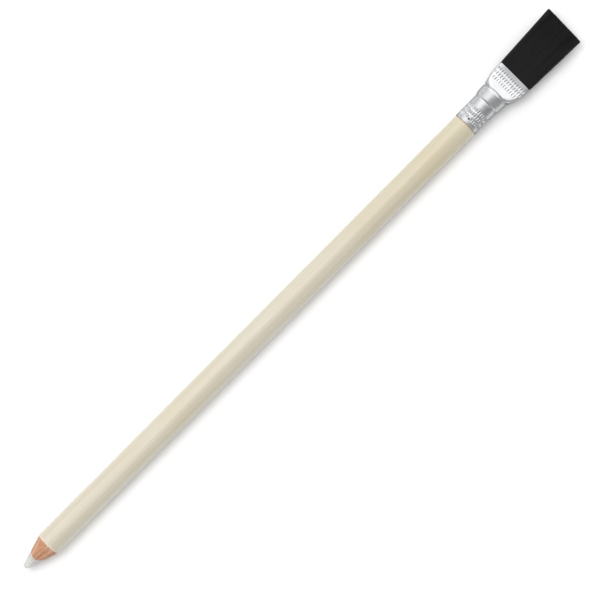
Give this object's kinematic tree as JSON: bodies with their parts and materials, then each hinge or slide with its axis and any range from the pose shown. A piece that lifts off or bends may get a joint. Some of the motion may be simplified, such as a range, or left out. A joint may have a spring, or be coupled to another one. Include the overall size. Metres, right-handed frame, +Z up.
{
  "type": "eraser pencil with brush",
  "caption": "Round wood-cased pencil with an eraser core, sharpened at one end, and a flat dusting brush in a crimped metal ferrule at the other.",
  "frame": {"origin": "centre of the bottom of the bounding box, below the pencil's axis and halfway along it", "axes": "+X along the pencil, from the eraser tip to the brush; +Y across the width of the brush; +Z up, square to the brush's flats"},
  "size_m": [0.2108, 0.0124, 0.0084],
  "materials": {
    "eraser": "smooth white-grey vinyl eraser, satin",
    "wood": "bare reddish pencil wood, freshly cut",
    "undercoat": "matte pale undercoat, seen as a thin lip at the cut",
    "lacquer": "cream lacquer, satin gloss, with faint streaks along the pencil",
    "ferrule_metal": "bright drawn aluminium, crimped",
    "resin": "amber resin, hidden inside",
    "bristle": "black bristle, slight sheen"
  },
  "bodies": {
    "root": {"eraser_core": "eraser", "casing_slat_a": "wood", "casing_slat_b": "wood", "undercoat": "undercoat", "lacquer_coat": "lacquer", "ferrule": "ferrule_metal", "resin_plug": "resin", "bristle_tuft": "bristle"}
  },
  "joints": []
}
